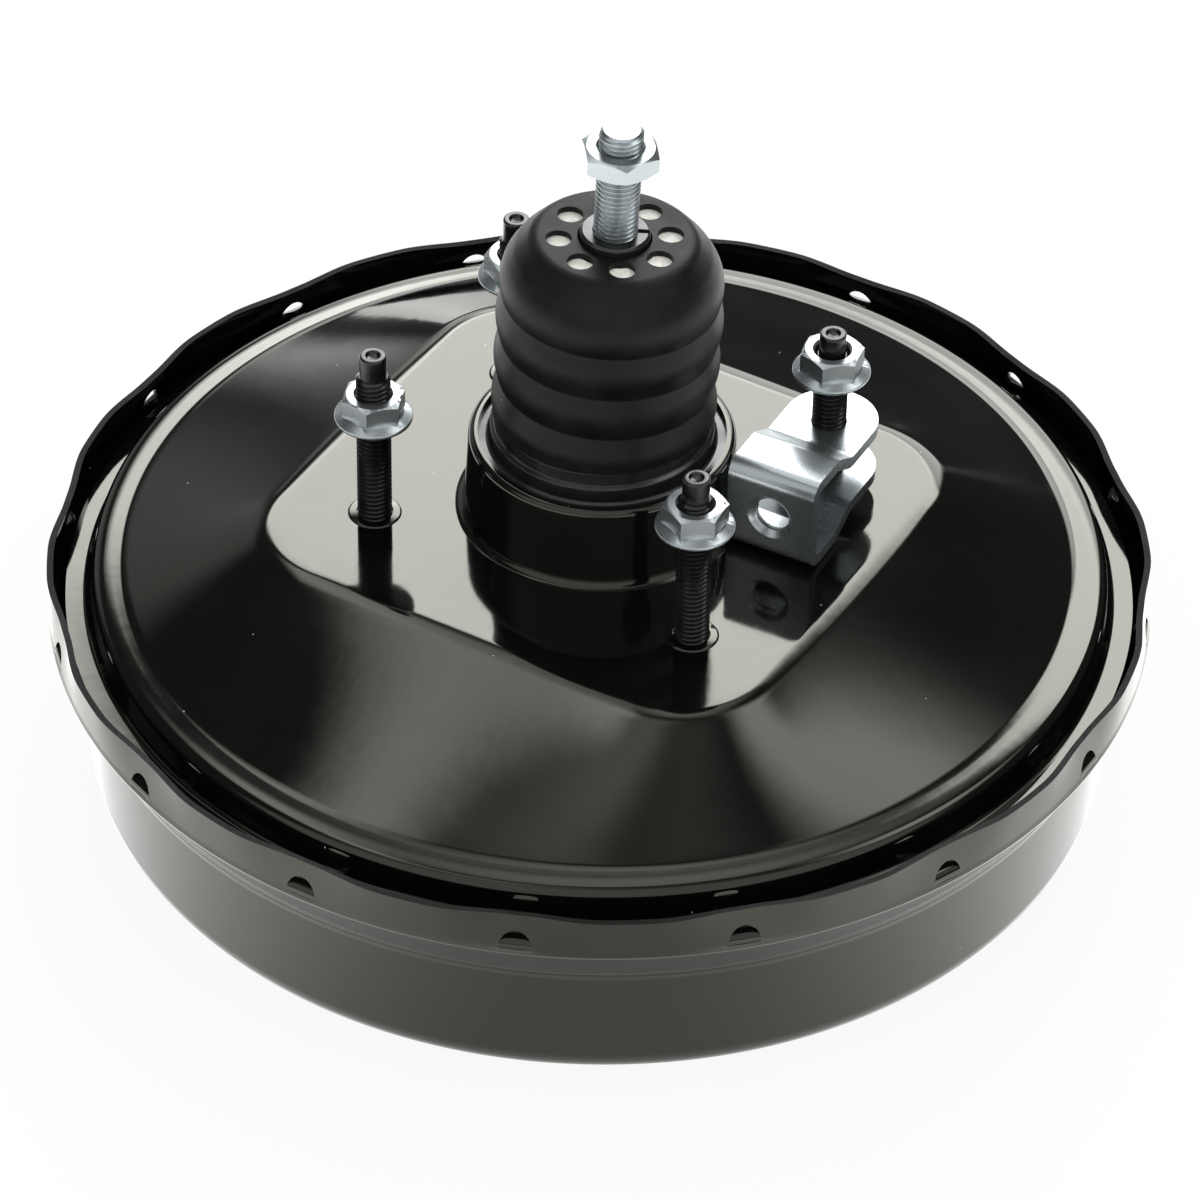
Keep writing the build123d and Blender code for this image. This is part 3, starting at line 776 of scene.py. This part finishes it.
def build_stud():
    thread_end = STUD_TIP - DOG_LONG
    shank = threaded("stud", M8_R, M8_ROOT, M8_PITCH, PAD - 4, thread_end, 0.7)
    dog = lathe(
        "dog",
        bent(
            [(PIN, thread_end - 1), (DOG_R, thread_end - 1), (DOG_R, STUD_TIP), (DIMPLE_R + 0.4, STUD_TIP),
             (DIMPLE_R, STUD_TIP - 0.7), (PIN, STUD_TIP - 0.9)],
            [0, 0.5, 0.3, 0.2],
        ),
        40, closed=True,
    )
    return joined("stud", [shank, dog])


def hex_body(name, flats, low, high, under=False):
    # six-sided prism turned to a cone at its top, and underneath too where both ends show
    corner = flats / math.sqrt(3)
    face_r = flats * 0.475
    slope = math.tan(math.radians(30))
    cone = (corner - face_r) * slope
    deselect()
    middle = (0, 0, (low + high) / 2)
    bpy.ops.mesh.primitive_cylinder_add(vertices=6, radius=corner, depth=high - low, location=middle)
    body = started(name)
    if under:
        side = corner + 0.01
        outline = [(PIN, low), (face_r, low), (side, low + cone), (side, high - cone)]
    else:
        side = corner + 1
        outline = [(PIN, low - 1), (side, low - 1), (side, high - cone - slope)]
    outline += [(face_r, high), (PIN, high)]
    combine(body, lathe("cone", outline, 96, closed=True), "INTERSECT")
    return body


def bore(piece, radius, low, high, sink=0.5):
    hole = [
        (PIN, low - 1), (radius + sink + 1, low - 1), (radius, low + sink), (radius, high - sink),
        (radius + sink + 1, high + 1), (PIN, high + 1),
    ]
    combine(piece, lathe("hole", hole, 48, closed=True))
    return piece


def build_flange_nut():
    # drawn standing at height 0
    body = hex_body("nut", NUT_FLATS, 0.6, NUT_HIGH)
    skirt = lathe(
        "skirt",
        bent(
            [
                (PIN, 0), (NUT_FLANGE_R - 0.5, 0), (NUT_FLANGE_R, 0.45), (NUT_FLANGE_R, 1.15),
                (NUT_FLATS / 2 + 0.35, 2.1), (NUT_FLATS / 2 - 0.6, 2.9), (PIN, 2.9),
            ],
            [0.2, 0.3, 0.3, 1.5, 0],
        ),
        72, closed=True,
    )
    combine(body, skirt, "UNION")
    bore(body, M8_R + 0.04, 0, NUT_HIGH)
    round_edges(body, 0.12, 2, 25)
    return body


def place_nuts():
    nut = build_flange_nut()
    for spot, (x, y) in STUD_SPOTS.items():
        name = "nut_" + spot
        place = Matrix.Translation((x, y, NUT_BOTTOMS[spot])) @ turned_about_axis(NUT_TURNS[spot])
        twin = moved(copied(nut, name), place)
        finish(twin, zinc, "housing", 30, ["flange_nut_" + spot])
    bpy.data.objects.remove(nut)


finish(build_shell_rear(), gloss_black, "housing", 30, ["rear_shell"])
finish(build_stud_seats(), gloss_black, "housing")
studs = at_spots(build_stud(), "studs", STUD_SPOTS.values())
finish(studs, black_steel, "housing", 30, ["firewall_studs"])
place_nuts()


# ======== neck collar, boot and its foam
def leaned():
    # the push rod and the boot lean about the middle of the rod's ball
    heading = math.radians(LEAN_TO)
    hinge = Vector((-math.sin(heading), math.cos(heading), 0))
    ball = Matrix.Translation((0, 0, BALL))
    return ball @ Matrix.Rotation(math.radians(LEAN), 4, hinge) @ ball.inverted()


def build_neck_collar():
    bore_r = COLLAR_TIP_R - 1.2
    flange_r = NECK_TOP_R - 1.8
    outline = bent(
        [
            (bore_r, COLLAR_TOP), (COLLAR_TIP_R, COLLAR_TOP), (COLLAR_TIP_R, COLLAR_STEP_HIGH),
            (COLLAR_R, COLLAR_STEP_HIGH), (COLLAR_R, COLLAR_STEP_LOW), (COLLAR_FOOT_R, COLLAR_STEP_LOW - 0.5),
            (COLLAR_FOOT_R, COLLAR_SEAT), (flange_r, COLLAR_SEAT), (flange_r, COLLAR_SEAT - COLLAR_SHEET),
            (bore_r, COLLAR_SEAT - COLLAR_SHEET),
        ],
        [0.3, 0.3, 0.4, 0.15, 0.25, 1.1, 0.3, 0.3],
    )
    return lathe("neck_collar", outline, 160, closed=True)


def build_boot():
    corners = [(BOOT_R - 0.1, BOOT_LOW - 2), (BOOT_R + 0.5, BOOT_LOW + 3.6)]
    bends = [8]
    for groove in BOOT_GROOVES:
        corners += [(BOOT_R - GROOVE_DEEP, groove), (BOOT_R + RIB_HIGH, groove + RIB_STEP)]
        bends += [1.1, 11]
    corners += [(BOOT_R - 3, BOOT_GROOVES[-1] + 11.6), (BOOT_R - 7, BOOT_TOP), (BOOT_HOLE_R, BOOT_TOP)]
    bends += [9, 4]
    boot = lathe("boot", bent(corners, bends, 8), 192)
    thicken(boot, BOOT_WALL)
    deselect()
    spot = (VENT_CIRCLE_R, 0, BOOT_TOP)
    bpy.ops.mesh.primitive_cylinder_add(vertices=40, radius=VENT_R, depth=8, location=spot)
    combine(boot, around(started("vents"), "vents", VENTS, VENT_TURN))
    round_edges(boot, 0.3, 3, 50)
    moved(boot, leaned())
    only(boot)
    bpy.ops.object.mode_set(mode="EDIT")
    bpy.ops.mesh.select_all(action="SELECT")
    bpy.ops.mesh.bisect(plane_co=(0, 0, BOOT_LOW), plane_no=(0, 0, 1), clear_inner=True)
    bpy.ops.mesh.select_all(action="DESELECT")
    bpy.ops.mesh.select_non_manifold()
    bpy.ops.mesh.bridge_edge_loops()
    bpy.ops.object.mode_set(mode="OBJECT")
    return boot


def build_foam():
    outline = bent(
        [
            (FOAM_HOLE_R, FOAM_LOW), (FOAM_R, FOAM_LOW), (FOAM_R, FOAM_TOP), (FOAM_HOLE_R, FOAM_TOP),
            (FOAM_HOLE_R, FOAM_LOW),
        ],
        [0.3, 0.8, 0.3],
    )
    return moved(lathe("foam_pad", outline, 96), leaned())


# ======== push rod with its collar and jam nut
def build_push_rod():
    # ball end, flange for the rod's return spring, and the thread
    flange_top = ROD_FLANGE_LOW + ROD_FLANGE_THICK
    shank = lathe(
        "push_rod",
        bent(
            [
                (PIN, BALL - BALL_R), (2.6, BALL - 4.15), (4.15, BALL - 2.6), (BALL_R, BALL),
                (4.15, BALL + 2.6), (3, BALL + 3.9), (ROD_NECK_R, BALL + 6), (ROD_NECK_R, ROD_FLANGE_LOW),
                (ROD_FLANGE_R, ROD_FLANGE_LOW), (ROD_FLANGE_R, flange_top), (ROD_R, flange_top),
                (ROD_R, ROD_THREAD_LOW), (PIN, ROD_THREAD_LOW),
            ],
            [3, 3, 3, 3, 1, 1, 0.2, 0.3, 0.3, 0.4, 0],
        ),
        64, closed=True,
    )
    thread = threaded("rod_thread", M10_R, M10_ROOT, M10_PITCH, ROD_THREAD_LOW - 0.01, ROD_TIP, 0.9, 40)
    return moved(joined("push_rod", [shank, thread]), leaned())


def build_jam_nut():
    nut = hex_body("jam_nut", JAM_FLATS, JAM_LOW, JAM_LOW + JAM_THICK, under=True)
    bore(nut, M10_R + 0.04, JAM_LOW, JAM_LOW + JAM_THICK)
    round_edges(nut, 0.12, 2, 25)
    moved(nut, turned_about_axis(JAM_TURN))
    return moved(nut, leaned())


def build_rod_collar():
    # with a slot in its top that faces the camera
    bore_r = M10_R + 0.15
    low, high = BOOT_TOP - ROD_COLLAR_HALF, BOOT_TOP + ROD_COLLAR_HALF
    lip_r = ROD_COLLAR_R + 0.9
    outline = bent(
        [
            (bore_r, low), (lip_r, low), (lip_r, low + 0.3), (ROD_COLLAR_R, low + 0.5),
            (ROD_COLLAR_R, high - 0.5), (ROD_COLLAR_R - 0.6, high), (bore_r, high),
        ],
        [0, 0.1, 0.2, 0.3, 0.3],
    )
    collar = lathe("rod_collar", outline, 96, closed=True)
    deselect()
    bpy.ops.mesh.primitive_cube_add(size=1, location=(M10_R + 1.2, 0, high), scale=(3, 1.5, 1.6))
    combine(collar, moved(started("slot"), turned_about_axis(CAMERA_TURN)))
    return moved(collar, leaned())


# ======== fork head: strip bent to a U round the right-hand stud
def fork_strip():
    half = FORK_HIGH / 2
    ear = half - FORK_JOGGLE
    line = bent(
        [
            (FORK_END, ear), (STEP_END, ear), (STEP_START, half), (0, half),
            (0, -half), (STEP_START, -half), (STEP_END, -ear), (FORK_END, -ear),
        ],
        [FORK_BEND] * 6, 8,
    )
    strip = drawn("fork_head", line)
    bpy.ops.object.mode_set(mode="EDIT")
    bpy.ops.mesh.select_all(action="SELECT")
    bpy.ops.mesh.extrude_edges_move(TRANSFORM_OT_translate={"value": (0, FORK_WIDE, 0)})
    bpy.ops.mesh.select_all(action="SELECT")
    bpy.ops.mesh.normals_make_consistent(inside=False)
    bpy.ops.object.mode_set(mode="OBJECT")
    moved(strip, Matrix.Translation((0, -FORK_WIDE / 2, 0)))
    thicken(strip, FORK_SHEET)
    return strip


def fork_plan():
    # plan of the ears: straight sides and a round end about the pin holes
    end_middle = (FORK_END - FORK_WIDE / 2, 0, 0)
    deselect()
    bpy.ops.mesh.primitive_cylinder_add(
        vertices=96, radius=FORK_WIDE / 2, depth=FORK_CUT, location=end_middle
    )
    plan = started("plan")
    bpy.ops.mesh.primitive_cube_add(
        size=1, location=(FORK_BASE / 2 - 10, 0, 0), scale=(FORK_BASE + 20, FORK_WIDE + 2, FORK_CUT)
    )
    combine(plan, started("plan_box"), "UNION")
    return plan


def build_fork():
    fork = fork_strip()
    combine(fork, fork_plan(), "INTERSECT")
    deselect()
    bpy.ops.mesh.primitive_cylinder_add(
        vertices=64, radius=FORK_HOLE_R, depth=FORK_CUT, location=(FORK_BASE, 0, 0)
    )
    combine(fork, started("pin_bore"))
    # the tapped hole for the rod, with its mouth countersunk
    tap = threaded("tap", M10_R, M10_ROOT, M10_PITCH, -4, 6, 0.1, 40)
    sink = lathe("sink", [(PIN, -1), (M10_R + 2, -1), (M10_ROOT - 0.2, 1.3), (PIN, 1.3)], 64, closed=True)
    lying = Matrix.Rotation(math.pi / 2, 4, "Y")
    combine(fork, moved(tap, lying))
    combine(fork, moved(sink, lying))
    round_edges(fork, 0.4, 3, 50)
    heading = math.radians(FORK_TURN)
    arm = Vector((math.cos(heading), math.sin(heading), 0))
    base = Vector((STUD_X, STUD_Y, FORK_LOW + FORK_HIGH / 2)) - arm * FORK_BASE
    return moved(fork, Matrix.Translation(base) @ Matrix.Rotation(heading, 4, "Z"))


def build_front_studs():
    stud = threaded("front_stud", M8_R, M8_ROOT, M8_PITCH, FRONT_STUD_TIP, FRONT_STUD_TOP, 0.6)
    return at_spots(stud, "front_studs", FRONT_STUD_SPOTS)


def dress():
    finish(build_neck_collar(), black_moulding, "housing", 30, ["neck_collar"])
    boot = finish(build_boot(), rubber, "housing", 40, ["boot"])
    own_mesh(boot)
    finish(build_foam(), white_foam, "power_piston", 40, ["filter_pad"])
    finish(build_push_rod(), zinc, "push_rod", 35, ["input_rod"])
    finish(build_jam_nut(), zinc, "push_rod", 30, ["jam_nut"])
    finish(build_rod_collar(), black_moulding, "push_rod", 30, ["rod_collar"])
    finish(build_fork(), zinc, "fork", 30, ["fork_head"])
    finish(build_front_studs(), black_steel, "housing", 30, ["master_cylinder_studs"])


dress()


# ======== the two springs are given meshes of their own, at their full length
def shorten(node):
    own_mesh(frame["nodes"][node])


shorten("return_spring")
shorten("check_valve_spring")


# ======== camera, light and floor
def build_camera():
    turn, height, roll = (math.radians(a) for a in (CAMERA_TURN, CAMERA_HEIGHT, CAMERA_ROLL))
    back = Vector((math.sin(turn) * math.cos(height), -math.cos(turn) * math.cos(height), math.sin(height)))
    right = Vector((math.cos(turn), math.sin(turn), 0))
    up = back.cross(right)
    place = RIM_CENTRE + back * CAMERA_DISTANCE
    rolled_up = up * math.cos(roll) - right * math.sin(roll)
    aim = RIM_CENTRE - rolled_up * AIM_DROP
    sight_back = (place - aim).normalized()
    sight_right = rolled_up.cross(sight_back).normalized()
    sight_up = sight_back.cross(sight_right)
    camera = bpy.data.objects.new("camera", bpy.data.cameras.new("camera"))
    camera.matrix_world = Matrix(
        [[sight_right[i], sight_up[i], sight_back[i], place[i]] for i in range(3)] + [[0, 0, 0, 1]]
    )
    camera.data.lens = CAMERA_LENS
    camera.data.sensor_width = 36
    bpy.context.scene.collection.objects.link(camera)
    bpy.context.scene.camera = camera


def soft_box_group():
    # how much of a soft-edged rectangular light stands in a direction of the sky
    numbers = dict.fromkeys(("Turn", "Height", "Roll", "Wide", "High", "Soft"), "Float")
    group, entry, out = new_group("soft box", {"Direction": "Vector", **numbers}, {"Mask": "Float"})
    turn = group.nodes.new("ShaderNodeVectorRotate")
    turn.rotation_type = "Z_AXIS"
    group.links.new(entry.outputs["Direction"], turn.inputs["Vector"])
    group.links.new(entry.outputs["Turn"], turn.inputs["Angle"])
    tilt = group.nodes.new("ShaderNodeVectorRotate")
    tilt.rotation_type = "X_AXIS"
    group.links.new(turn.outputs["Vector"], tilt.inputs["Vector"])
    group.links.new(math_node(group, "MULTIPLY", entry.outputs["Height"], -1), tilt.inputs["Angle"])
    roll = group.nodes.new("ShaderNodeVectorRotate")
    roll.rotation_type = "Y_AXIS"
    group.links.new(tilt.outputs["Vector"], roll.inputs["Vector"])
    group.links.new(entry.outputs["Roll"], roll.inputs["Angle"])
    apart = group.nodes.new("ShaderNodeSeparateXYZ")
    group.links.new(roll.outputs["Vector"], apart.inputs["Vector"])
    ahead = math_node(group, "MAXIMUM", apart.outputs["Y"], 0.02)
    mask = None
    for axis, reach in (("X", "Wide"), ("Z", "High")):
        off = math_node(group, "ABSOLUTE", math_node(group, "DIVIDE", apart.outputs[axis], ahead))
        edge = group.nodes.new("ShaderNodeMapRange")
        edge.interpolation_type = "SMOOTHSTEP"
        group.links.new(off, edge.inputs["Value"])
        for limit, operation in (("From Min", "ADD"), ("From Max", "SUBTRACT")):
            border = math_node(group, operation, entry.outputs[reach], entry.outputs["Soft"])
            group.links.new(border, edge.inputs[limit])
        side = edge.outputs["Result"]
        mask = side if mask is None else math_node(group, "MULTIPLY", mask, side)
    group.links.new(mask, out.inputs["Mask"])
    return group


def build_sky():
    # the sky that lights the object: dim, with large soft boxes beyond and beside it, and white to the camera
    world = bpy.data.worlds.new("studio")
    bpy.context.scene.world = world
    world.use_nodes = True
    tree = world.node_tree
    place = tree.nodes.new("ShaderNodeTexCoord")
    boxes = soft_box_group()
    light = SKY_LEVEL
    for turn, height, roll, wide, high, soft, strength in SOFT_BOXES:
        box = tree.nodes.new("ShaderNodeGroup")
        box.node_tree = boxes
        tree.links.new(place.outputs["Generated"], box.inputs["Direction"])
        box.inputs["Turn"].default_value = math.radians(turn - CAMERA_TURN)
        box.inputs["Height"].default_value = math.radians(height)
        box.inputs["Roll"].default_value = math.radians(roll)
        box.inputs["Wide"].default_value = math.tan(math.radians(wide))
        box.inputs["High"].default_value = math.tan(math.radians(high))
        box.inputs["Soft"].default_value = math.tan(math.radians(soft))
        light = math_node(tree, "ADD", math_node(tree, "MULTIPLY", box.outputs["Mask"], strength), light)
    ray = tree.nodes.new("ShaderNodeLightPath")
    fill = math_node(tree, "MULTIPLY", ray.outputs["Is Diffuse Ray"], DIFFUSE_FILL)
    light = math_node(tree, "ADD", fill, light)
    seen = math_node(tree, "MAXIMUM", ray.outputs["Is Camera Ray"], ray.outputs["Is Transmission Ray"])
    level = tree.nodes.new("ShaderNodeMix")
    tree.links.new(seen, level.inputs["Factor"])
    tree.links.new(light, level.inputs["A"])
    level.inputs["B"].default_value = 1
    background = tree.nodes["Background"]
    tree.links.new(level.outputs["Result"], background.inputs["Strength"])
    background.inputs["Color"].default_value = (1, 1, 1, 1)


def build_floor():
    deselect()
    bpy.ops.mesh.primitive_plane_add(size=FLOOR_SIZE, location=(0, 0, FLOOR_LOW))
    floor = bpy.context.object
    floor.name = "floor"
    material = make_material("white floor", FLOOR_PAINT, roughness=0.7)
    tree = material.node_tree
    ray = tree.nodes.new("ShaderNodeLightPath")
    seen = math_node(tree, "MAXIMUM", ray.outputs["Is Camera Ray"], ray.outputs["Is Transmission Ray"])
    seen = math_node(tree, "MULTIPLY", seen, FLOOR_WHITE)
    mirrored = math_node(tree, "MULTIPLY", ray.outputs["Is Glossy Ray"], FLOOR_GLOSS)
    seen = math_node(tree, "MAXIMUM", seen, mirrored)
    white = tree.nodes.new("ShaderNodeEmission")
    # reflections of the floor are brighter to either side of the object than in front of it
    place = tree.nodes.new("ShaderNodeTexCoord")
    turned = tree.nodes.new("ShaderNodeVectorRotate")
    turned.rotation_type = "Z_AXIS"
    turned.inputs["Angle"].default_value = -math.radians(CAMERA_TURN)
    tree.links.new(place.outputs["Object"], turned.inputs["Vector"])
    apart = tree.nodes.new("ShaderNodeSeparateXYZ")
    tree.links.new(turned.outputs["Vector"], apart.inputs["Vector"])
    sideways = tree.nodes.new("ShaderNodeMapRange")
    sideways.interpolation_type = "SMOOTHSTEP"
    tree.links.new(math_node(tree, "ABSOLUTE", apart.outputs["X"]), sideways.inputs["Value"])
    sideways.inputs["From Min"].default_value = FLOOR_FRONT_HALF
    sideways.inputs["From Max"].default_value = FLOOR_SIDE_START
    sideways.inputs["To Min"].default_value = FLOOR_FRONT
    sideways.inputs["To Max"].default_value = FLOOR_SIDE
    level = tree.nodes.new("ShaderNodeMix")
    tree.links.new(ray.outputs["Is Glossy Ray"], level.inputs["Factor"])
    level.inputs["A"].default_value = 1
    tree.links.new(sideways.outputs["Result"], level.inputs["B"])
    tree.links.new(level.outputs["Result"], white.inputs["Strength"])
    mix = tree.nodes.new("ShaderNodeMixShader")
    tree.links.new(seen, mix.inputs["Fac"])
    tree.links.new(tree.nodes["Principled BSDF"].outputs["BSDF"], mix.inputs[1])
    tree.links.new(white.outputs["Emission"], mix.inputs[2])
    tree.links.new(mix.outputs["Shader"], tree.nodes["Material Output"].inputs["Surface"])
    floor.data.materials.append(material)


build_camera()
build_sky()
build_floor()
bpy.context.scene.view_settings.view_transform = "Standard"
